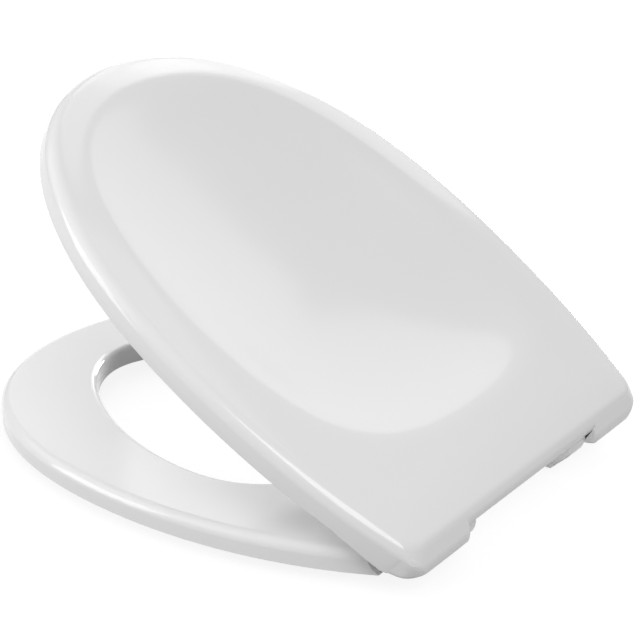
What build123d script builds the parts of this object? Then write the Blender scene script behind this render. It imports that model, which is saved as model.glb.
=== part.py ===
from build123d import *
from math import asin, cos, degrees, radians, sin, sqrt
import os

os.makedirs("parts", exist_ok=True)

# Driving dimensions in millimetres and degrees.
# The origin is midway between the two bolt holes, on the rim the seat is bolted to.
# +Y points to the front of the seat and +Z points up.
bolt_spacing = 155.0
bolt_hole_r = 4.25
axis_back = 28.0
axis_z = 24.5
lid_open = 32.0

# The lid, seen from above with y counted forward from the hinge axis
lid_half = 186.0
lid_front = 427.0
widest_y = 180.0
lid_taper = 340.0
front_bulge = 0.615
rear_corner_r = 15.0
lid_rear = 13.4

# The lid, heights counted from the hinge axis while it lies closed
lid_top = 24.6
skirt_low = 4.3
plate_t = 5.0
skirt_t = 5.5
rim_r = 10.0
dish_depth = 17.0
dish_half = 152.0
dish_front = 402.0
dish_back = 44.0
dish_y = 190.0
dish_bulge = 0.67
dish_rear_bulge = 0.76
dish_crease = 0.3
crown = 2.5
crown_w = 40.0

# Corner blocks of the lid, which wrap the hinge on both sides of the rear gap
block_r = 14.8
block_back = 6.0
block_rise = 6.5
block_low_back = 2.0
block_low_rise = 22.8
block_low_r = 23.3
block_end_r = 4.0
block_edge_r = 1.5
eye_r = 9.0
dip_front = 39.0
dip_low = -0.4
dip_t = 8.0
gap_half = 87.5
cheek_t = 8.0
hollow_r = 11.2
hollow_end = 127.0
gap_plate_low = 16.5
solid_front = 30.0

# The seat ring, heights counted from the rim
seat_inset = 0.9
seat_taper = 272.0
seat_low = 11.0
seat_top = 27.5
seat_edge_r = 7.0
seat_lip_r = 5.0
seat_wall_t = 6.5
hole_half = 126.0
hole_front = 365.0
hole_back = 90.0
hole_y = 176.0
hole_bulge = 0.45
hole_rear_bulge = 0.65
notch_front = 52.0
notch_corner_r = 8.0
arm_low = 6.0
arm_top = 8.0

# Hinge
pin_r = 4.0
post_r = 15.0
lug_r = 9.5
sleeve_r = 6.2
post_half_w = 11.1
foot_r = 12.0
foot_top = 9.0
bolt_seat_r = 8.5
pad_t = 2.0
pin_end = 139.5
pin_cover = 2.0
pin_wall = 2.5

# Buffers
buffer_r = 8.0
peg_r = 3.0
peg_len = 6.0
boss_r = 9.5
seat_boss_low = 13.0
lid_boss_low = 7.5
seat_buffer_front_at = (96.0, 350.0)
seat_buffer_rear_at = (136.0, 112.0)
lid_buffer_front_at = (112.0, 344.0)
lid_buffer_rear_at = (150.0, 118.0)

# Clearances
side_gap = 0.3
turn_gap = 0.05
seat_turn_gap = 2.2
buffer_gap = 0.3
flush_gap = 0.3

post_x = bolt_spacing / 2
post_in = post_x - post_half_w
post_out = gap_half - side_gap
cheek_out = gap_half + cheek_t
lug_in = cheek_out + side_gap
lug_out = hollow_end - side_gap
block_reach = block_r + sqrt(block_back**2 + block_rise**2)


def four_places(front, rear):
    """The two given places and their mirror images."""
    return [front, rear, (-front[0], front[1]), (-rear[0], rear[1])]


seat_buffer_places = four_places(seat_buffer_front_at, seat_buffer_rear_at)
lid_buffer_places = four_places(lid_buffer_front_at, lid_buffer_rear_at)


def seat_at(z):
    """Level plane whose origin lies on the hinge axis line, z above the rim."""
    return Plane(origin=(0, -axis_back, z))


def lid_at(n):
    """Plane parallel to the lid, n above the hinge axis, leaning with the lid."""
    lean = radians(lid_open)
    normal = Vector(0, -sin(lean), cos(lean))
    return Plane(origin=Vector(0, -axis_back, axis_z) + normal * n, x_dir=(1, 0, 0), z_dir=normal)


def seat_section(x):
    """Upright plane across the hinge axis at x, with forward and up as its two directions."""
    return Plane(origin=(x, -axis_back, axis_z), x_dir=(0, 1, 0), z_dir=(1, 0, 0))


def lid_section(x):
    """The same plane turned with the lid, so that forward runs along the lid."""
    lean = radians(lid_open)
    return Plane(origin=(x, -axis_back, axis_z), x_dir=(0, cos(lean), sin(lean)), z_dir=(1, 0, 0))


def plan(half, front, taper, rear, corner_r):
    """Outline seen from above: full round front, sides that draw in, straight rear edge."""
    reach = front - widest_y
    turn = degrees(asin((widest_y - rear) / taper))
    with BuildSketch() as face:
        with BuildLine():
            side = EllipticalCenterArc((0, widest_y), half, taper, start_angle=-turn, arc_size=turn)
            Bezier(
                (half, widest_y),
                (half, widest_y + front_bulge * reach),
                (front_bulge * half, front),
                (0, front),
            )
            Line((0, rear), side @ 0)
            mirror(about=Plane.YZ)
        make_face()
        fillet(face.vertices().group_by(Axis.Y)[0], corner_r)
    return face.sketch


def oval(half, front, back, middle, bulge, rear_bulge):
    """Egg-shaped outline with its widest place at middle."""
    with BuildSketch() as face:
        with BuildLine():
            Bezier(
                (half, middle),
                (half, middle + bulge * (front - middle)),
                (bulge * half, front),
                (0, front),
            )
            Bezier(
                (half, middle),
                (half, middle - rear_bulge * (middle - back)),
                (rear_bulge * half, back),
                (0, back),
            )
            mirror(about=Plane.YZ)
        make_face()
    return face.sketch


def dish_oval(part_of, grow):
    """One level line of the dish in the lid, part_of being 1 at its edge."""
    half = dish_half * part_of + grow
    front = dish_y + (dish_front - dish_y) * part_of + grow
    back = dish_y - (dish_y - dish_back) * part_of - grow
    return oval(half, front, back, dish_y, dish_bulge, dish_rear_bulge)


dish_steps = [0.1 * step for step in range(1, 12)]


def dish_height(part_of):
    """Height of the dish's surface above the hinge axis along its level lines."""
    bowl = max(0.0, 1 - part_of**2) ** 2
    pan = max(0.0, 1 - part_of**6) ** 2
    hollow = (1 - dish_crease) * (0.6 * bowl + 0.4 * pan) + dish_crease * (1 - part_of**2)
    return lid_top + crown - dish_depth * hollow


crown_steps = (0.0, 0.3, 0.65, 1.0)


def crown_height(part_of):
    """Height of the crowned rim, part_of being 0 at the outline and 1 at the crest."""
    return lid_top + crown * (1 - (1 - part_of) ** 2)


def on_rim(edge):
    """Says whether an edge of the lid lies where the rim's round goes."""
    return abs(lid_at(lid_top).to_local_coords(edge.center()).Z) < 0.05


lid_outline = plan(lid_half, lid_front, lid_taper, -lid_rear, rear_corner_r)
crown_lines = [
    plan(
        lid_half - step * crown_w,
        lid_front - step * crown_w,
        lid_taper,
        step * crown_w - lid_rear,
        rear_corner_r,
    )
    for step in crown_steps
]
block_outline = plan(
    lid_half - flush_gap,
    lid_front - flush_gap,
    lid_taper,
    -block_back - block_r,
    rear_corner_r,
)
dip_outline = plan(lid_half - dip_t, lid_front - dip_t, lid_taper, -2 * lid_rear, 4)
space_outline = plan(lid_half - skirt_t, lid_front - skirt_t, lid_taper, solid_front, 10)
dish_lines = [dish_oval(step, 0) for step in dish_steps]
under_lines = [dish_oval(step, 1.5) for step in dish_steps]
seat_outline = plan(lid_half - seat_inset, lid_front - seat_inset, seat_taper, 0, 4)
seat_space_outline = plan(
    lid_half - seat_inset - seat_wall_t,
    lid_front - seat_inset - seat_wall_t,
    seat_taper,
    hole_back,
    10,
)
hole_outline = oval(hole_half, hole_front, hole_back, hole_y, hole_bulge, hole_rear_bulge)
hole_wall_outline = oval(
    hole_half + seat_wall_t,
    hole_front + seat_wall_t,
    hole_back - seat_wall_t,
    hole_y,
    hole_bulge,
    hole_rear_bulge,
)

# Body that scoops the dish out of the lid's top
with BuildPart() as dish:
    for step, line in zip(dish_steps, dish_lines):
        with BuildSketch(lid_at(dish_height(step))):
            add(line)
    loft()

# The same body one plate thickness lower, which the underside follows
with BuildPart() as dish_under:
    for step, line in zip(dish_steps, under_lines):
        with BuildSketch(lid_at(dish_height(step) - plate_t)):
            add(line)
    loft()

# The rim rises gently from the outline to a crest around the dish
with BuildPart() as crowned:
    for step, line in zip(crown_steps, crown_lines):
        with BuildSketch(lid_at(crown_height(step))):
            add(line)
    loft()

# Space under the lid's plate, inside the skirt
with BuildPart() as lid_space:
    with BuildSketch(lid_at(skirt_low - 1)):
        add(space_outline)
    extrude(amount=lid_top - plate_t - skirt_low + 1)
    add(dish_under.part, mode=Mode.SUBTRACT)

# Rear corner block of the lid: round behind and below, its outer end flush with the lid's side
with BuildPart() as block:
    with BuildSketch(lid_section(gap_half)):
        with Locations((-block_back, block_rise)):
            Circle(block_r)
        with Locations((-block_low_back, block_low_rise)):
            Circle(block_low_r, mode=Mode.INTERSECT)
    extrude(amount=lid_half - gap_half)
    with BuildSketch(lid_at(-2 * block_r)):
        add(block_outline)
    extrude(amount=5 * block_r, mode=Mode.INTERSECT)
    fillet(block.faces().sort_by(Axis.X)[-1].edges(), block_end_r)
    fillet(block.faces().sort_by(Axis.X)[0].edges(), block_edge_r)
    # round eye below it, which carries the pin
    with BuildSketch(lid_section(gap_half)):
        Circle(eye_r)
    extrude(amount=pin_end + pin_wall - gap_half)

# The skirt's lower edge dips towards the blocks at both sides
with BuildPart() as dip:
    with BuildSketch(lid_section(0)):
        with BuildLine():
            Polyline(
                (dip_front, skirt_low),
                (0, dip_low),
                (-block_back, dip_low),
                (-block_back, skirt_low + 2),
                (dip_front, skirt_low + 2),
                close=True,
            )
        make_face()
    extrude(amount=lid_half, both=True)
    with BuildSketch(lid_at(-block_r)):
        add(lid_outline)
        add(dip_outline, mode=Mode.SUBTRACT)
    extrude(amount=3 * block_r, mode=Mode.INTERSECT)

# Lid: one moulding, dished on top, skirted, with a hollow block at each rear corner
with BuildPart() as lid:
    with BuildSketch(lid_at(skirt_low)):
        add(lid_outline)
    extrude(amount=lid_top - skirt_low)
    add(crowned.part)
    lid_up = Axis((0, -axis_back, axis_z), lid_at(0).z_dir)
    fillet(lid.edges().filter_by(on_rim), rim_r)
    add(dish.part, mode=Mode.SUBTRACT)
    add(lid_space.part, mode=Mode.SUBTRACT)
    add(dip.part)
    add(block.part)
    add(mirror(block.part, about=Plane.YZ, mode=Mode.PRIVATE))
    # gap between the corner blocks
    with BuildSketch(lid_section(0)):
        with Locations(((solid_front - 30) / 2, (gap_plate_low - 30) / 2)):
            Rectangle(solid_front + 30, gap_plate_low + 30)
    extrude(amount=gap_half, both=True, mode=Mode.SUBTRACT)
    # hollow of each block, open to the front, where the seat's lug turns
    with BuildSketch(lid_section(cheek_out), lid_section(-hollow_end)):
        Circle(hollow_r)
        with Locations((solid_front, gap_plate_low - solid_front)):
            Rectangle(2 * solid_front, 2 * solid_front)
    extrude(amount=hollow_end - cheek_out, mode=Mode.SUBTRACT)
    # holes for the sleeves in the cheeks and for the pin ends
    with BuildSketch(lid_section(gap_half - 1), lid_section(-cheek_out - 1)):
        Circle(sleeve_r + turn_gap)
    extrude(amount=cheek_t + 2, mode=Mode.SUBTRACT)
    with BuildSketch(lid_section(hollow_end - 1), lid_section(-pin_end - 0.5)):
        Circle(pin_r + turn_gap)
    extrude(amount=pin_end + 1.5 - hollow_end, mode=Mode.SUBTRACT)
    # bosses that hold the buffers under the plate
    with BuildSketch(lid_at(lid_boss_low)):
        with Locations(*lid_buffer_places):
            Circle(boss_r)
    extrude(amount=lid_top - plate_t + 1 - lid_boss_low)
    with BuildSketch(lid_at(lid_boss_low)):
        with Locations(*lid_buffer_places):
            Circle(peg_r + turn_gap)
    extrude(amount=peg_len + 0.5, mode=Mode.SUBTRACT)

# Seat ring: one moulding with rounded edges, hollow below, with a lug at each rear corner
with BuildPart() as seat_ring:
    with BuildSketch(seat_at(seat_low)):
        add(seat_outline)
    extrude(amount=seat_top - seat_low)
    fillet(seat_ring.faces().sort_by(Axis.Z)[-1].edges(), seat_edge_r)
    with BuildSketch(seat_at(seat_low)):
        add(hole_outline)
    extrude(amount=seat_top - seat_low, mode=Mode.SUBTRACT)
    fillet(seat_ring.faces().sort_by(Axis.Z)[-1].inner_wires()[0].edges(), seat_lip_r)
    # hollow underside
    with BuildSketch(seat_at(seat_low)):
        add(seat_space_outline)
        add(hole_wall_outline, mode=Mode.SUBTRACT)
    extrude(amount=seat_top - seat_wall_t - seat_low, mode=Mode.SUBTRACT)
    # opening at the rear for the posts, and room for the lid's blocks to turn
    with BuildSketch(seat_at(seat_low)):
        with Locations((0, notch_front / 2 - 20)):
            RectangleRounded(2 * lug_in, notch_front + 40, notch_corner_r)
    extrude(amount=seat_top, mode=Mode.SUBTRACT)
    with BuildSketch(seat_section(0)):
        Circle(block_r + seat_turn_gap)
    extrude(amount=lid_half, both=True, mode=Mode.SUBTRACT)
    # lugs on the hinge axis, each on an arm that runs into the ring
    with BuildSketch(seat_section(lug_in), seat_section(-lug_out)):
        Circle(lug_r)
        with BuildLine():
            Polyline(
                (0, -arm_low),
                (block_reach + 12, -arm_low),
                (block_reach + 15, seat_top - axis_z - 0.5),
                (5, arm_top),
                (0, arm_top),
                close=True,
            )
        make_face()
    extrude(amount=lug_out - lug_in)
    with BuildSketch(seat_section(lug_in - 1), seat_section(-lug_out - 1)):
        Circle(sleeve_r + turn_gap)
    extrude(amount=lug_out - lug_in + 2, mode=Mode.SUBTRACT)
    # bosses that hold the buffers
    with BuildSketch(seat_at(seat_boss_low)):
        with Locations(*seat_buffer_places):
            Circle(boss_r)
    extrude(amount=seat_top - seat_wall_t + 1 - seat_boss_low)
    with BuildSketch(seat_at(seat_boss_low)):
        with Locations(*seat_buffer_places):
            Circle(peg_r + turn_gap)
    extrude(amount=peg_len + 0.5, mode=Mode.SUBTRACT)

# Hinge post: barrel on the axis, neck and round foot with the bolt hole
with BuildPart() as post:
    with BuildSketch(seat_section(post_in)):
        with BuildLine():
            CenterArc((0, 0), post_r, 0, 360)
            Polyline(
                (2, pad_t - axis_z),
                (axis_back, pad_t - axis_z),
                (axis_back, foot_top - axis_z),
                (2, foot_top - axis_z),
                close=True,
            )
        make_hull()
    extrude(amount=post_out - post_in)
    fillet(post.faces().filter_by(Axis.X).edges(), 1.2)
    with BuildSketch(Plane.XY.offset(pad_t)):
        with Locations((post_x, 0)):
            Circle(foot_r)
    extrude(amount=foot_top - pad_t)
    with BuildSketch(Plane.XY.offset(pad_t)):
        with Locations((post_x, 0)):
            Circle(bolt_hole_r)
    extrude(amount=2 * axis_z, mode=Mode.SUBTRACT)
    with BuildSketch(Plane.XY.offset(foot_top)):
        with Locations((post_x, 0)):
            Circle(bolt_seat_r)
    extrude(amount=2 * axis_z, mode=Mode.SUBTRACT)
    with BuildSketch(seat_section(post_in + pin_cover)):
        Circle(pin_r + turn_gap)
    extrude(amount=post_out, mode=Mode.SUBTRACT)

# Pad between the foot and the rim
with BuildPart() as pad:
    with BuildSketch():
        with Locations((post_x, 0)):
            Circle(foot_r)
            Circle(bolt_hole_r, mode=Mode.SUBTRACT)
    extrude(amount=pad_t)

# Hinge pin, fixed in the post, which the lid and the seat turn on
with BuildPart() as pin:
    with BuildSketch(seat_section(post_in + pin_cover + 0.2)):
        Circle(pin_r)
    extrude(amount=pin_end - post_in - pin_cover - 0.2)
    chamfer(pin.edges(), 0.6)

# Sleeve in the lid's cheek
with BuildPart() as lid_sleeve:
    with BuildSketch(lid_section(gap_half)):
        Circle(sleeve_r)
        Circle(pin_r + turn_gap, mode=Mode.SUBTRACT)
    extrude(amount=cheek_t)

# Sleeve in the seat's lug
with BuildPart() as seat_sleeve:
    with BuildSketch(seat_section(lug_in)):
        Circle(sleeve_r)
        Circle(pin_r + turn_gap, mode=Mode.SUBTRACT)
    extrude(amount=lug_out - lug_in)

# Buffers: a round head with a peg pressed into its boss
with BuildPart() as seat_buffer_front:
    with BuildSketch(seat_at(0)):
        with Locations(seat_buffer_places[0]):
            Circle(buffer_r)
    extrude(amount=seat_boss_low)
    chamfer(seat_buffer_front.edges().group_by(Axis.Z)[0], 1)
    with BuildSketch(seat_at(seat_boss_low)):
        with Locations(seat_buffer_places[0]):
            Circle(peg_r)
    extrude(amount=peg_len)

with BuildPart() as seat_buffer_rear:
    with BuildSketch(seat_at(0)):
        with Locations(seat_buffer_places[1]):
            Circle(buffer_r)
    extrude(amount=seat_boss_low)
    chamfer(seat_buffer_rear.edges().group_by(Axis.Z)[0], 1)
    with BuildSketch(seat_at(seat_boss_low)):
        with Locations(seat_buffer_places[1]):
            Circle(peg_r)
    extrude(amount=peg_len)

with BuildPart() as lid_buffer_front:
    with BuildSketch(lid_at(seat_top - axis_z + buffer_gap)):
        with Locations(lid_buffer_places[0]):
            Circle(buffer_r)
    extrude(amount=lid_boss_low - (seat_top - axis_z + buffer_gap))
    chamfer(lid_buffer_front.edges().group_by(lid_up)[0], 1)
    with BuildSketch(lid_at(lid_boss_low)):
        with Locations(lid_buffer_places[0]):
            Circle(peg_r)
    extrude(amount=peg_len)

with BuildPart() as lid_buffer_rear:
    with BuildSketch(lid_at(seat_top - axis_z + buffer_gap)):
        with Locations(lid_buffer_places[1]):
            Circle(buffer_r)
    extrude(amount=lid_boss_low - (seat_top - axis_z + buffer_gap))
    chamfer(lid_buffer_rear.edges().group_by(lid_up)[0], 1)
    with BuildSketch(lid_at(lid_boss_low)):
        with Locations(lid_buffer_places[1]):
            Circle(peg_r)
    extrude(amount=peg_len)

lid.part.label = "lid"
export_step(lid.part, "parts/lid.step")
seat_ring.part.label = "seat_ring"
export_step(seat_ring.part, "parts/seat_ring.step")

# Everything else comes in a right and a left piece
sided = {
    "hinge_post": post,
    "post_pad": pad,
    "hinge_pin": pin,
    "lid_sleeve": lid_sleeve,
    "seat_sleeve": seat_sleeve,
    "seat_buffer_front": seat_buffer_front,
    "seat_buffer_rear": seat_buffer_rear,
    "lid_buffer_front": lid_buffer_front,
    "lid_buffer_rear": lid_buffer_rear,
}
for name, right in sided.items():
    with BuildPart() as left:
        add(mirror(right.part, about=Plane.YZ, mode=Mode.PRIVATE))
    right.part.label = name + "_right"
    export_step(right.part, "parts/" + name + "_right.step")
    left.part.label = name + "_left"
    export_step(left.part, "parts/" + name + "_left.step")
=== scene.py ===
import math

import bmesh
import bpy
import numpy as np
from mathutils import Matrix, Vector


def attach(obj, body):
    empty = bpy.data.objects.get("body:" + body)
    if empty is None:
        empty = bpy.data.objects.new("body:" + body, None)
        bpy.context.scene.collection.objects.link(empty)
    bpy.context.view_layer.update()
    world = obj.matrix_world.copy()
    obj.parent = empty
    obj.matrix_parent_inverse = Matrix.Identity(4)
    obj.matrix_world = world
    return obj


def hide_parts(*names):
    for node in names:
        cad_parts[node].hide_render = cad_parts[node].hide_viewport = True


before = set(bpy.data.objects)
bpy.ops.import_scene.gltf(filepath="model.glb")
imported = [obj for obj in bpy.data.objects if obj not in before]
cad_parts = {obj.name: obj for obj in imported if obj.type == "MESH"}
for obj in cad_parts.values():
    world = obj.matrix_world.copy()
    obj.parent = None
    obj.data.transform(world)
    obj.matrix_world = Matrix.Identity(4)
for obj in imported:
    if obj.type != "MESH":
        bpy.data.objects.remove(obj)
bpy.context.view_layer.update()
scene = bpy.context.scene

# Hinge axis in the frame, in millimetres, and how far the lid stands open at rest
MM = 0.001
AXIS_Y = -28.0
AXIS_Z = 24.5
LEAN = math.radians(32)

# The lid in millimetres, counted across, forward and up from the hinge axis, as its solid has it
HALF = 186.0
FRONT = 427.0
WIDEST = 180.0
TAPER = 340.0
BULGE = 0.615
REAR = -13.4
CORNER = 15.0
TOP = 24.6
SKIRT = 4.3
PLATE = 5.0
WALL = 5.5
EDGE_R = 0.9
SPACE_REAR = 30.0
SPACE_CORNER = 10.0

# The rim's round starts on the wall at RIM_LOW and turns by RIM_TURN degrees.
# It meets the crowned top at the inset RIM_IN.
RIM = 10.0
RIM_LOW = 15.65
RIM_TURN = 83.4
RIM_IN = 8.86
CROWN = 2.5
CROWN_W = 40.0

# Dish, with the shares of its depth that make the bowl, the flat pan and the crease at its edge
DISH_HALF = 152.0
DISH_FRONT = 402.0
DISH_BACK = 44.0
DISH_Y = 190.0
DISH_DEPTH = 17.0
DISH_BULGE = 0.67
DISH_REAR_BULGE = 0.76
BOWL = 0.42
PAN = 0.28
CREASE = 0.3
UNDER_GROW = 1.5
BLEND = 0.5

# Dip of the skirt's lower edge towards the hinge, DIP_T thick, and the tuck of the wall's foot behind it
DIP = 4.7
DIP_FRONT = 39.0
DIP_BACK = 8.0
DIP_T = 8.0
TUCK = 0.5

# Corner blocks: x of the gap, the cheek and the hollow's end, the shell's angles around the hollow
# in degrees, then the profile's two circles
GAP = 87.5
GAP_LOW = 16.5
CHEEK = 95.5
HOLLOW = 127.0
HOLLOW_R = 11.2
SHELL_FROM = 90
SHELL_TO = 172
BLOCK_AT = np.array((-6.0, 6.5))
BLOCK_R = 14.8
BLOCK_LOW_AT = np.array((-2.0, 22.8))
BLOCK_LOW_R = 23.3
BLOCK_MIDDLE = np.array((-5.0, 10.0))
BLOCK_EDGE_R = 1.5
BLOCK_END_R = 4.0
FLUSH = 0.3
HIDDEN = 0.05

# Web over each block: its root inside the lid, its corner at the block, its start, its depth under the skin
WEB_INSET = 20.0
WEB_REAR = -4.0
WEB_ROOT = 18.0
WEB_CORNER = 8.5
WEB_START = GAP + 0.8
WEB_UNDER = 0.01

# Hinge eyes and the bosses that hold the buffers
SLEEVE_BORE = 6.25
PIN_BORE = 4.05
PIN_STOP = 140.0
EYE_R = 9.0
EYE_END = 142.0
BOSS_R = 9.5
BOSS_LOW = 7.5
BOSS_EDGE_R = 0.5
BOSS_TOP = 20.6
PEG_BORE = 3.05
PEG_STOP = 14.0
FRONT_BOSS = (112, 344)
REAR_BOSS = (150, 118)

# Columns of points along the outline's rear line and around its corner, and points around a ring.
# LINE_END is the x of the rear line's end by which inset outlines scale their columns.
# SHARP is the angle in degrees above which an edge stays sharp.
GAP_COLS = 12
CHEEK_COLS = 3
HOLLOW_COLS = 6
TAIL_COLS = 4
REAR_COLS = GAP_COLS + CHEEK_COLS + HOLLOW_COLS + TAIL_COLS
ARC_COLS = 14
WEB_COLS = REAR_COLS + ARC_COLS + 4
LINE_END = 139.5
SPOKES = 288
BOSS_SPOKES = 48
SHARP = 32


def lid_place(p):
    """Lid millimetres to metres: turned by the lean about the hinge axis."""
    c, s = math.cos(LEAN), math.sin(LEAN)
    x, y, n = p[:, 0], p[:, 1], p[:, 2]
    return np.stack([x, y * c - n * s + AXIS_Y, y * s + n * c + AXIS_Z], -1) * MM


def cubic(p, count):
    """Points of the cubic sum of (1-t)^3 p0, 3(1-t)^2 t p1, 3(1-t) t^2 p2, t^3 p3."""
    t = np.linspace(0, 1, count)[:, None]
    p = np.array(p, float)
    return (1 - t) ** 3 * p[0] + 3 * (1 - t) ** 2 * t * p[1] + 3 * (1 - t) * t**2 * p[2] + t**3 * p[3]


def outline(half, front, rear, corner, keep):
    """Right half of a lid outline from the rear middle to the front middle.

    Straight rear y = rear, an arc of radius corner, the side
    x = half sqrt(1 - ((w - y) / taper)^2) and a cubic over the front.
    With keep, the rear columns at the gap and the hollow stay at their x.
    """
    a = np.linspace(-math.asin((WIDEST - rear) / TAPER), 0, 4000)
    full = np.stack([half * np.cos(a), WIDEST + TAPER * np.sin(a)], 1)
    nor = np.stack([np.cos(a) / half, np.sin(a) / TAPER], 1)
    nor /= np.linalg.norm(nor, axis=1)[:, None]
    inner = full - corner * nor
    k = int(np.argmin(np.abs(inner[:, 1] - rear - corner)))
    end = inner[k, 0]
    x = np.concatenate([
        np.linspace(0, GAP, GAP_COLS),
        np.linspace(GAP, CHEEK, CHEEK_COLS),
        np.linspace(CHEEK, HOLLOW, HOLLOW_COLS),
        np.linspace(HOLLOW, end if keep else LINE_END, TAIL_COLS + 1)[:-1],
    ])
    if not keep:
        x = x * end / LINE_END
    line = np.stack([x, np.full(len(x), rear)], 1)
    turn = np.linspace(-math.pi / 2, math.atan2(nor[k, 1], nor[k, 0]), ARC_COLS)
    arc = inner[k] + corner * np.stack([np.cos(turn), np.sin(turn)], 1)
    a = np.linspace(a[k], 0, 56)[1:]
    side = np.stack([half * np.cos(a), WIDEST + TAPER * np.sin(a)], 1)
    reach = front - WIDEST
    bow = cubic([(half, WIDEST), (half, WIDEST + BULGE * reach), (BULGE * half, front), (0, front)], 80)[1:]
    return np.concatenate([line, arc, side, bow])


def inset(d, keep):
    """The lid's own outline drawn in by d."""
    return outline(HALF - d, FRONT - d, REAR + d, CORNER, keep)


def at_level(p, n):
    """Points of an outline placed at height n, one value or one for each point."""
    return np.concatenate([p, np.broadcast_to(n, (len(p),))[:, None]], 1)


def dish_share(p, grow=0.0):
    """Share of the way from the dish's middle to its edge, 1 on the edge oval."""
    x, y = p[:, 0], p[:, 1] - DISH_Y
    back, fore = DISH_BACK - DISH_Y, DISH_FRONT - DISH_Y
    half, b, f = DISH_HALF, DISH_REAR_BULGE, DISH_BULGE
    rear = cubic([(0, back), (b * half, back), (half, b * back), (half, 0)], 300)
    front = cubic([(half, 0), (half, f * fore), (f * half, fore), (0, fore)], 300)
    edge = np.concatenate([rear, front[1:]])
    way = np.arctan2(edge[:, 1], edge[:, 0])
    r = np.interp(np.arctan2(y, np.abs(x)), way, np.hypot(edge[:, 0], edge[:, 1]))
    return np.clip(np.hypot(x, y) - grow, 0, None) / r


def dish_level(s):
    """Height of the dish: the crest less depth (bowl (1-s^2)^2 + pan (1-s^6)^2 + crease (1-s^2))."""
    bowl = np.clip(1 - s**2, 0, None) ** 2
    pan = np.clip(1 - s**6, 0, None) ** 2
    return TOP + CROWN - DISH_DEPTH * (BOWL * bowl + PAN * pan + CREASE * (1 - s**2))


def soft_min(a, b):
    """The lower of two heights, (a + b - sqrt((a - b)^2 + w^2)) / 2 with the blend's width w."""
    return 0.5 * (a + b - np.sqrt((a - b) ** 2 + BLEND**2))


def lower_edge(edge):
    """Lower edge of the skirt along the outline, the height behind it, and where it steps."""
    x, y = edge[:, 0], edge[:, 1]
    count = np.arange(len(x))
    low = np.full(len(x), SKIRT)
    low = np.where((y > 0) & (y < DIP_FRONT), SKIRT - DIP * (DIP_FRONT - y) / DIP_FRONT, low)
    low = np.where((y <= 0) & (x > HOLLOW), SKIRT - DIP + DIP * np.clip(-y / DIP_BACK, 0, 1) ** 2, low)
    low = np.where(count < GAP_COLS, GAP_LOW, low)
    low_in = np.where(low < SKIRT, SKIRT, low)
    hollow = GAP_COLS + CHEEK_COLS
    low_in = np.where((count >= hollow) & (count < hollow + HOLLOW_COLS), GAP_LOW, low_in)
    step = np.where(count < REAR_COLS, -REAR, DIP_T)
    return low, low_in, step


def lid_skin():
    """Rows of the lid's moulding from the top's middle over the rim to the underside's middle.

    Each row is one height n over one outline: scaled to the middle inside the crest,
    n = top + crown (1 - (1 - d / w)^2) on the rim at inset d, a round of the rim's radius,
    the wall, the lower edge, the inner wall, and the plate's underside.
    """
    rows = []
    middle = np.array((0.0, DISH_Y))
    crest = inset(CROWN_W, False)
    for t in np.linspace(0, 1, 40):
        p = middle + t * (crest - middle)
        rows.append(at_level(p, soft_min(TOP + CROWN, dish_level(dish_share(p)))))
    for d in np.linspace(CROWN_W, RIM_IN, 18)[1:]:
        p = inset(d, False)
        rim = TOP + CROWN * (1 - (1 - d / CROWN_W) ** 2)
        rows.append(at_level(p, soft_min(rim, dish_level(dish_share(p)))))
    edge = inset(0, True)
    low, low_in, step = lower_edge(edge)
    for a in np.radians(np.linspace(RIM_TURN, 0, 14))[1:]:
        p = inset(RIM * (1 - math.cos(a)), True)
        rows.append(at_level(p, np.maximum(RIM_LOW + RIM * math.sin(a), low)))
    round_r = np.where(low > SKIRT + 1, 0.0, EDGE_R)
    tuck = TUCK * np.clip(-edge[:, 1] / DIP_BACK, 0, 1) * (edge[:, 0] > HOLLOW)
    foot = edge * (1 - tuck / np.linalg.norm(edge, axis=1))[:, None]
    for t in (0.5, 1.0):
        n = np.maximum(RIM_LOW, low) * (1 - t) + (low + round_r) * t
        rows.append(at_level(edge + t * (foot - edge), n))
    space = outline(HALF - WALL, FRONT - WALL, SPACE_REAR, SPACE_CORNER, True)
    width = np.linalg.norm(space - foot, axis=1)
    across = (space - foot) / width[:, None]
    for a in np.radians((30, 60, 90)):
        back = round_r * (1 - math.cos(a))
        rows.append(at_level(foot + across * back[:, None], low + round_r * (1 - math.sin(a))))
    inner = foot + across * np.minimum(step, width)[:, None]
    rows.append(at_level(inner, low))
    rows.append(at_level(inner, low_in))
    rows.append(at_level(space, low_in))
    under = TOP - PLATE
    for t in (0.5, 1.0):
        rows.append(at_level(space, low_in * (1 - t) + under * t))
    for t in np.linspace(1, 0, 30)[1:]:
        p = middle + t * (space - middle)
        rows.append(at_level(p, soft_min(under, dish_level(dish_share(p, UNDER_GROW)) - PLATE)))
    return np.stack(rows)


def ray_circle(start, dirs, centre, r):
    """Distance along each direction from start to the circle of radius r around centre."""
    to = centre - np.array(start, float)
    along = dirs @ to
    return along + np.sqrt(along**2 + r**2 - to @ to)


def block_edge(start, dirs):
    """Distance to the corner block's profile, the part inside both of its circles."""
    rear = ray_circle(start, dirs, BLOCK_AT, BLOCK_R)
    low = ray_circle(start, dirs, BLOCK_LOW_AT, BLOCK_LOW_R)
    return np.minimum(rear, low)[:, None]


def around(turn):
    """Unit directions for angles counted from forward to up."""
    return np.stack([np.cos(turn), np.sin(turn)], 1)


def at_x(x, points):
    """Points of a profile (forward, up) placed at x across, one value or one for each point."""
    return np.concatenate([np.broadcast_to(x, (len(points),))[:, None], points], 1)


def capped(rings):
    """Rings of points with both ends closed by their own middle."""
    ends = rings.mean(1, keepdims=True).repeat(rings.shape[1], 1)
    return np.concatenate([ends[:1], rings, ends[-1:]])


spoke = around(np.linspace(0, 2 * math.pi, SPOKES + 1)[:-1])


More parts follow.
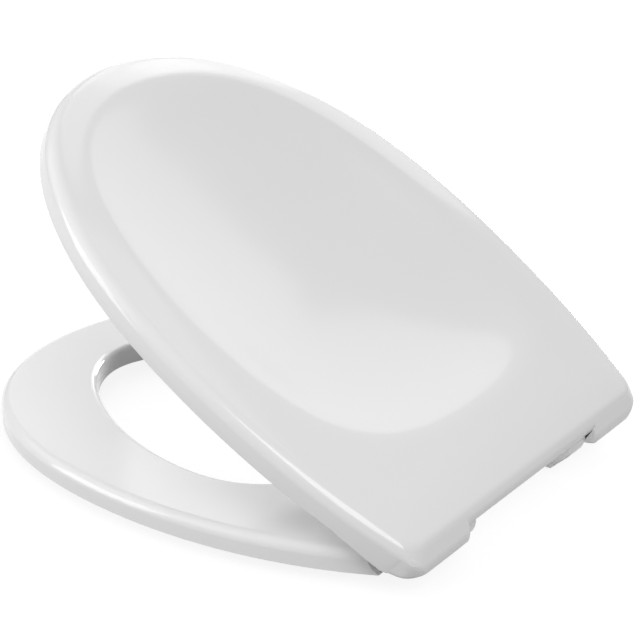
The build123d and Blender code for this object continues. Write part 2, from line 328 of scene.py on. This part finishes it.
def block_cheek():
    """Inner wall of the right corner block: the sleeve's hole and a round of radius r at the gap.

    The round is inset r (1 - sin a) at x = gap + r (1 - cos a).
    """
    far = block_edge((0, 0), spoke)
    rings = [at_x(GAP, SLEEVE_BORE * spoke)]
    for a in np.radians((0, 30, 60, 90)):
        r = np.maximum(far - BLOCK_EDGE_R * (1 - math.sin(a)), EYE_R)
        rings.append(at_x(GAP + BLOCK_EDGE_R * (1 - math.cos(a)), r * spoke))
    rings.append(at_x(CHEEK, np.maximum(far, EYE_R) * spoke))
    rings.append(at_x(CHEEK, SLEEVE_BORE * spoke))
    rings.append(rings[0])
    return np.stack(rings)


def block_eye():
    """Round eye at the hollow's outer end, with the blind hole for the pin: circles r at x."""
    steps = (
        (PIN_STOP, 0.0), (PIN_STOP, PIN_BORE), (HOLLOW, PIN_BORE),
        (HOLLOW, EYE_R), (EYE_END, EYE_R), (EYE_END, 0.0),
    )
    return np.stack([at_x(x, r * spoke) for x, r in steps])


def block_shoulder():
    """Outer end of the block, which follows the lid's side x = end(y).

    Its edge is a round of radius r: inset r (1 - cos a) at x = end(y) - r + r sin a.
    """
    side = outline(HALF - FLUSH, FRONT - FLUSH, BLOCK_AT[0] - BLOCK_R, CORNER, True)[REAR_COLS:]
    far = block_edge(BLOCK_MIDDLE, spoke)
    rings = [at_x(HOLLOW + HIDDEN, BLOCK_MIDDLE + t * far * spoke) for t in (0, 1)]
    for a in np.radians(np.linspace(0, 90, 12)):
        p = BLOCK_MIDDLE + (far - BLOCK_END_R * (1 - math.cos(a))) * spoke
        end = np.interp(p[:, 0], side[:, 1], side[:, 0])
        rings.append(at_x(end - BLOCK_END_R + BLOCK_END_R * math.sin(a), p))
    for t in (0.75, 0.5, 0.25, 0.0):
        p = BLOCK_MIDDLE + t * (far - BLOCK_END_R) * spoke
        rings.append(at_x(np.interp(p[:, 0], side[:, 1], side[:, 0]), p))
    return np.stack(rings)


def block_shell():
    """Rear wall around the hollow of the seat's lug: from the hollow's radius to the profile."""
    dirs = around(np.radians(np.linspace(SHELL_FROM, SHELL_TO, 60)))
    out, hollow = block_edge((0, 0), dirs) * dirs, HOLLOW_R * dirs
    corners = ((CHEEK, out), (HOLLOW, out), (HOLLOW, hollow), (CHEEK, hollow))
    return capped(np.stack([at_x(x, line) for x, line in corners], 1))


def block_web():
    """Flat between the rim's round and the corner block's round, on the line that touches both circles.

    The line's normal makes the angle acos((R - r) / c) with the line between the circles' centres,
    c apart, and each height on it has its own outline around the corner.
    """
    rim_at = np.array((REAR + RIM, RIM_LOW))
    between = rim_at - BLOCK_AT
    a = math.atan2(between[1], between[0]) + math.acos((BLOCK_R - RIM) / np.hypot(*between))
    nor = np.array((math.cos(a), math.sin(a)))
    top, low = rim_at + (RIM - WEB_UNDER) * nor, BLOCK_AT + (BLOCK_R - WEB_UNDER) * nor
    root = outline(HALF - WEB_INSET, FRONT - WEB_INSET, WEB_REAR, CORNER, True)
    lines = [at_level(root, WEB_ROOT)]
    for t in np.linspace(0, 1, 13):
        y, n = top + t * (low - top)
        d = RIM - math.sqrt(RIM**2 - (n - RIM_LOW) ** 2) + HIDDEN
        corner = CORNER + t * (WEB_CORNER - CORNER)
        lines.append(at_level(outline(HALF - d, FRONT - d, y, corner, True), n))
    web = np.stack(lines, 1)[GAP_COLS:WEB_COLS]
    web[:, :, 0] = np.maximum(web[:, :, 0], WEB_START)
    return capped(web)


def boss(x, y):
    """Round boss under the plate: rings of the peg's hole, the bottom disc, the wall and the top."""
    turn = np.linspace(0, 2 * math.pi, BOSS_SPOKES + 1)[:-1]
    steps = (
        (0.0, PEG_STOP), (PEG_BORE, PEG_STOP), (PEG_BORE, BOSS_LOW), (BOSS_R - BOSS_EDGE_R, BOSS_LOW),
        (BOSS_R - 0.3 * BOSS_EDGE_R, BOSS_LOW + 0.3 * BOSS_EDGE_R), (BOSS_R, BOSS_LOW + BOSS_EDGE_R),
        (BOSS_R, BOSS_TOP), (0.0, BOSS_TOP),
    )
    return np.stack([at_level((x, y) + r * around(turn), n) for r, n in steps])


def strip(grid, closed):
    """Four-cornered faces between the rows of a grid of points, closed around if asked."""
    rows, cols = grid.shape[:2]
    i = np.arange(rows * cols).reshape(rows, cols)
    j = np.roll(i, -1, axis=1) if closed else i[:, 1:]
    i = i if closed else i[:, :-1]
    return np.stack([i[:-1], j[:-1], j[1:], i[1:]], -1).reshape(-1, 4)


def moulding(name, skin_rows, rings):
    """One mesh of a skin, closed rings and their mirror images, with touching points joined."""
    points, faces, first = [], [], 0
    for grid, closed in [(skin_rows, False), *((ring, True) for ring in rings)]:
        quads = strip(grid, closed)
        for side in (1, -1):
            p = grid.reshape(-1, 3) * (side, 1, 1)
            points.append(p)
            faces.append((quads if side == 1 else quads[:, ::-1]) + first)
            first += len(p)
    p = np.concatenate(points)
    key, back = np.unique(np.round(p, 4), axis=0, return_inverse=True)
    back = back.ravel()
    spot = np.zeros((len(key), 3))
    spot[back] = lid_place(p)
    clean = []
    for quad in back[np.concatenate(faces)].tolist():
        kept = [v for k, v in enumerate(quad) if v != quad[k - 1]]
        if len(set(kept)) == len(kept) and len(kept) > 2:
            clean.append(kept)
    mesh = bpy.data.meshes.new(name)
    mesh.from_pydata(spot.tolist(), [], clean)
    bm = bmesh.new()
    bm.from_mesh(mesh)
    bmesh.ops.recalc_face_normals(bm, faces=bm.faces)
    bm.to_mesh(mesh)
    bm.free()
    mesh.polygons.foreach_set("use_smooth", np.ones(len(mesh.polygons), bool))
    mesh.set_sharp_from_angle(angle=math.radians(SHARP))
    ob = bpy.data.objects.new(name, mesh)
    scene.collection.objects.link(ob)
    return ob


blocks = [block_cheek(), block_eye(), block_shoulder(), block_shell(), block_web()]
lid = moulding("lid_moulding", lid_skin(), blocks + [boss(*FRONT_BOSS), boss(*REAR_BOSS)])
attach(lid, "lid")
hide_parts("lid")


def grain_group():
    """Shared surface effect: fine waviness of a moulded skin and a little uneven gloss."""
    g = bpy.data.node_groups.new("moulded_skin", "ShaderNodeTree")
    g.interface.new_socket("Colour", in_out="INPUT", socket_type="NodeSocketColor")
    for name in ("Roughness", "Uneven", "Wave"):
        g.interface.new_socket(name, in_out="INPUT", socket_type="NodeSocketFloat")
    g.interface.new_socket("Colour", in_out="OUTPUT", socket_type="NodeSocketColor")
    g.interface.new_socket("Roughness", in_out="OUTPUT", socket_type="NodeSocketFloat")
    g.interface.new_socket("Normal", in_out="OUTPUT", socket_type="NodeSocketVector")
    add, link = g.nodes.new, g.links.new
    gi, go = add("NodeGroupInput"), add("NodeGroupOutput")
    co = add("ShaderNodeTexCoord")
    fine, broad = add("ShaderNodeTexNoise"), add("ShaderNodeTexNoise")
    for tex, scale, detail in ((fine, 260.0, 3.0), (broad, 9.0, 2.0)):
        tex.inputs["Scale"].default_value = scale
        tex.inputs["Detail"].default_value = detail
        link(co.outputs["Object"], tex.inputs["Vector"])
    spread = add("ShaderNodeMapRange")
    for name, value in (("From Min", 0.3), ("From Max", 0.7), ("To Min", -1.0), ("To Max", 1.0)):
        spread.inputs[name].default_value = value
    link(broad.outputs["Fac"], spread.inputs["Value"])
    times = add("ShaderNodeMath")
    times.operation = "MULTIPLY"
    link(spread.outputs["Result"], times.inputs[0])
    link(gi.outputs["Uneven"], times.inputs[1])
    plus = add("ShaderNodeMath")
    plus.operation = "ADD"
    link(gi.outputs["Roughness"], plus.inputs[0])
    link(times.outputs[0], plus.inputs[1])
    link(plus.outputs[0], go.inputs["Roughness"])
    tone = add("ShaderNodeHueSaturation")
    value = add("ShaderNodeMath")
    value.operation = "MULTIPLY_ADD"
    value.inputs[1].default_value = 0.3
    value.inputs[2].default_value = 1.0
    link(times.outputs[0], value.inputs[0])
    link(value.outputs[0], tone.inputs["Value"])
    link(gi.outputs["Colour"], tone.inputs["Color"])
    link(tone.outputs["Color"], go.inputs["Colour"])
    bump = add("ShaderNodeBump")
    bump.inputs["Distance"].default_value = 0.0002
    link(gi.outputs["Wave"], bump.inputs["Strength"])
    link(fine.outputs["Fac"], bump.inputs["Height"])
    link(bump.outputs["Normal"], go.inputs["Normal"])
    return g


skin = grain_group()


def material(name, colour, rough, uneven, wave, **more):
    """Principled surface whose colour, gloss and fine shape come through the shared skin."""
    m = bpy.data.materials.new(name)
    m.use_nodes = True
    nt = m.node_tree
    b = nt.nodes["Principled BSDF"]
    g = nt.nodes.new("ShaderNodeGroup")
    g.node_tree = skin
    g.inputs["Colour"].default_value = (*colour, 1)
    g.inputs["Roughness"].default_value = rough
    g.inputs["Uneven"].default_value = uneven
    g.inputs["Wave"].default_value = wave
    nt.links.new(g.outputs["Colour"], b.inputs["Base Color"])
    nt.links.new(g.outputs["Roughness"], b.inputs["Roughness"])
    nt.links.new(g.outputs["Normal"], b.inputs["Normal"])
    for key, v in more.items():
        b.inputs[key.replace("_", " ")].default_value = v
    return m


gloss = material("white_gloss", (0.80, 0.80, 0.80), 0.11, 0.015, 0.02, IOR=1.52)
satin = material("white_satin", (0.9, 0.9, 0.895), 0.25, 0.04, 0.06, IOR=1.5)
steel = material("pin_steel", (0.56, 0.56, 0.57), 0.26, 0.06, 0.1, Metallic=1.0)
rubber = material("clear_rubber", (0.60, 0.61, 0.61), 0.5, 0.05, 0.12, IOR=1.45)
nylon = material("sleeve_nylon", (0.70, 0.69, 0.66), 0.42, 0.04, 0.08, IOR=1.5)

lid.data.materials.append(gloss)
wears = {
    "lid": gloss, "seat_ring": gloss, "hinge_post": satin, "post_pad": rubber, "hinge_pin": steel,
    "lid_sleeve": nylon, "seat_sleeve": nylon, "seat_buffer": rubber, "lid_buffer": rubber,
}
for name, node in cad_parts.items():
    start = max((k for k in wears if name.startswith(k)), key=len)
    if len(node.material_slots) == 0:
        node.data.materials.append(wears[start])
    for place in node.material_slots:
        place.material = wears[start]


def direction(turn, rise):
    """Unit vector turned from the rear towards +x and raised, both in degrees."""
    a, e = math.radians(turn), math.radians(rise)
    return Vector((math.sin(a) * math.cos(e), -math.cos(a) * math.cos(e), math.sin(e)))


def aimed(name, data, aim, way, far):
    """Object placed from aim along way, far metres out, that looks back at aim."""
    ob = bpy.data.objects.new(name, data)
    ob.location = aim + far * way
    ob.rotation_mode = "QUATERNION"
    ob.rotation_quaternion = (-way).to_track_quat("-Z", "Y")
    scene.collection.objects.link(ob)
    return ob


# Camera as fitted to the photograph, in metres and degrees, its focal length in picture widths
CAMERA_AIM = Vector((0.03956, 0.172, 0.08905))
CAMERA_TURN = -53.65
CAMERA_RISE = 22.06
CAMERA_FAR = 1.2854
FOCAL_WIDTHS = 1677 / 640

lens = bpy.data.cameras.new("camera")
lens.sensor_width = 36
lens.lens = FOCAL_WIDTHS * 36
lens.shift_x = 0.015
lens.shift_y = -0.0164
lens.dof.use_dof = False
lens.clip_start = 0.05
lens.clip_end = 50
scene.camera = aimed("camera", lens, CAMERA_AIM, direction(CAMERA_TURN, CAMERA_RISE), CAMERA_FAR)

LAMP_AIM = Vector((0, 0.17, 0.1))
LAMP_FAR = 2


def softbox(name, turn, rise, size, power):
    """Square lamp of the given size in metres and power in watts."""
    data = bpy.data.lights.new(name, "AREA")
    data.shape = "RECTANGLE"
    data.size = data.size_y = size
    data.energy = power
    aimed(name, data, LAMP_AIM, direction(turn, rise), LAMP_FAR)


softbox("side_low", 98, 8, 0.7, 19.5)
softbox("side_mid", 115, 22, 0.7, 5.3)
softbox("side_high", 98, 36, 0.7, 1.4)
softbox("side_top", 116, 50, 0.7, 1.4)
softbox("far_top", 70, 64, 0.7, 0.9)
softbox("front_far", 120, 34, 1.1, 4.2)
softbox("front_low", 135, 12, 1.1, 2.0)
softbox("front", 200, 34, 1.1, 2.1)
softbox("near_low", 225, 12, 1.1, 13.6)
softbox("near_mid", 240, 34, 1.1, 3.3)
softbox("camera_side", 320, 36, 1.1, 15.3)

# World: half light on the object, white where the camera sees it
world = bpy.data.worlds.new("world")
scene.world = world
world.use_nodes = True
sky = world.node_tree.nodes["Background"]
sky.inputs["Color"].default_value = (1, 1, 1, 1)
path = world.node_tree.nodes.new("ShaderNodeLightPath")
level = world.node_tree.nodes.new("ShaderNodeMath")
level.operation = "MULTIPLY_ADD"
level.inputs[1].default_value = 0.5
level.inputs[2].default_value = 0.5
world.node_tree.links.new(path.outputs["Is Camera Ray"], level.inputs[0])
world.node_tree.links.new(level.outputs[0], sky.inputs["Strength"])


def floor_material():
    """Grey floor that shines near white, with the object's shadow, where it is seen or mirrored."""
    m = bpy.data.materials.new("floor")
    m.use_nodes = True
    nt = m.node_tree
    nt.nodes.clear()
    add, link = nt.nodes.new, nt.links.new
    out, both = add("ShaderNodeOutputMaterial"), add("ShaderNodeAddShader")
    lit, glow, path = add("ShaderNodeBsdfDiffuse"), add("ShaderNodeEmission"), add("ShaderNodeLightPath")
    lit.inputs["Color"].default_value = (0.2, 0.2, 0.2, 1)
    any_two, any_all, level = add("ShaderNodeMath"), add("ShaderNodeMath"), add("ShaderNodeMath")
    any_two.operation = any_all.operation = "MAXIMUM"
    level.operation = "MULTIPLY"
    level.inputs[1].default_value = 0.86
    link(path.outputs["Is Camera Ray"], any_two.inputs[0])
    link(path.outputs["Is Glossy Ray"], any_two.inputs[1])
    link(any_two.outputs[0], any_all.inputs[0])
    link(path.outputs["Is Transmission Ray"], any_all.inputs[1])
    link(any_all.outputs[0], level.inputs[0])
    link(level.outputs[0], glow.inputs["Strength"])
    link(lit.outputs[0], both.inputs[0])
    link(glow.outputs[0], both.inputs[1])
    link(both.outputs[0], out.inputs["Surface"])
    return m


FLOOR_HALF = 6
FLOOR_Z = -0.0005
corners = [(x * FLOOR_HALF, y * FLOOR_HALF, FLOOR_Z) for x, y in ((-1, -1), (1, -1), (1, 1), (-1, 1))]
mesh = bpy.data.meshes.new("floor")
mesh.from_pydata(corners, [], [(0, 1, 2, 3)])
floor = bpy.data.objects.new("floor", mesh)
scene.collection.objects.link(floor)
floor.data.materials.append(floor_material())

scene.view_settings.view_transform = "Standard"
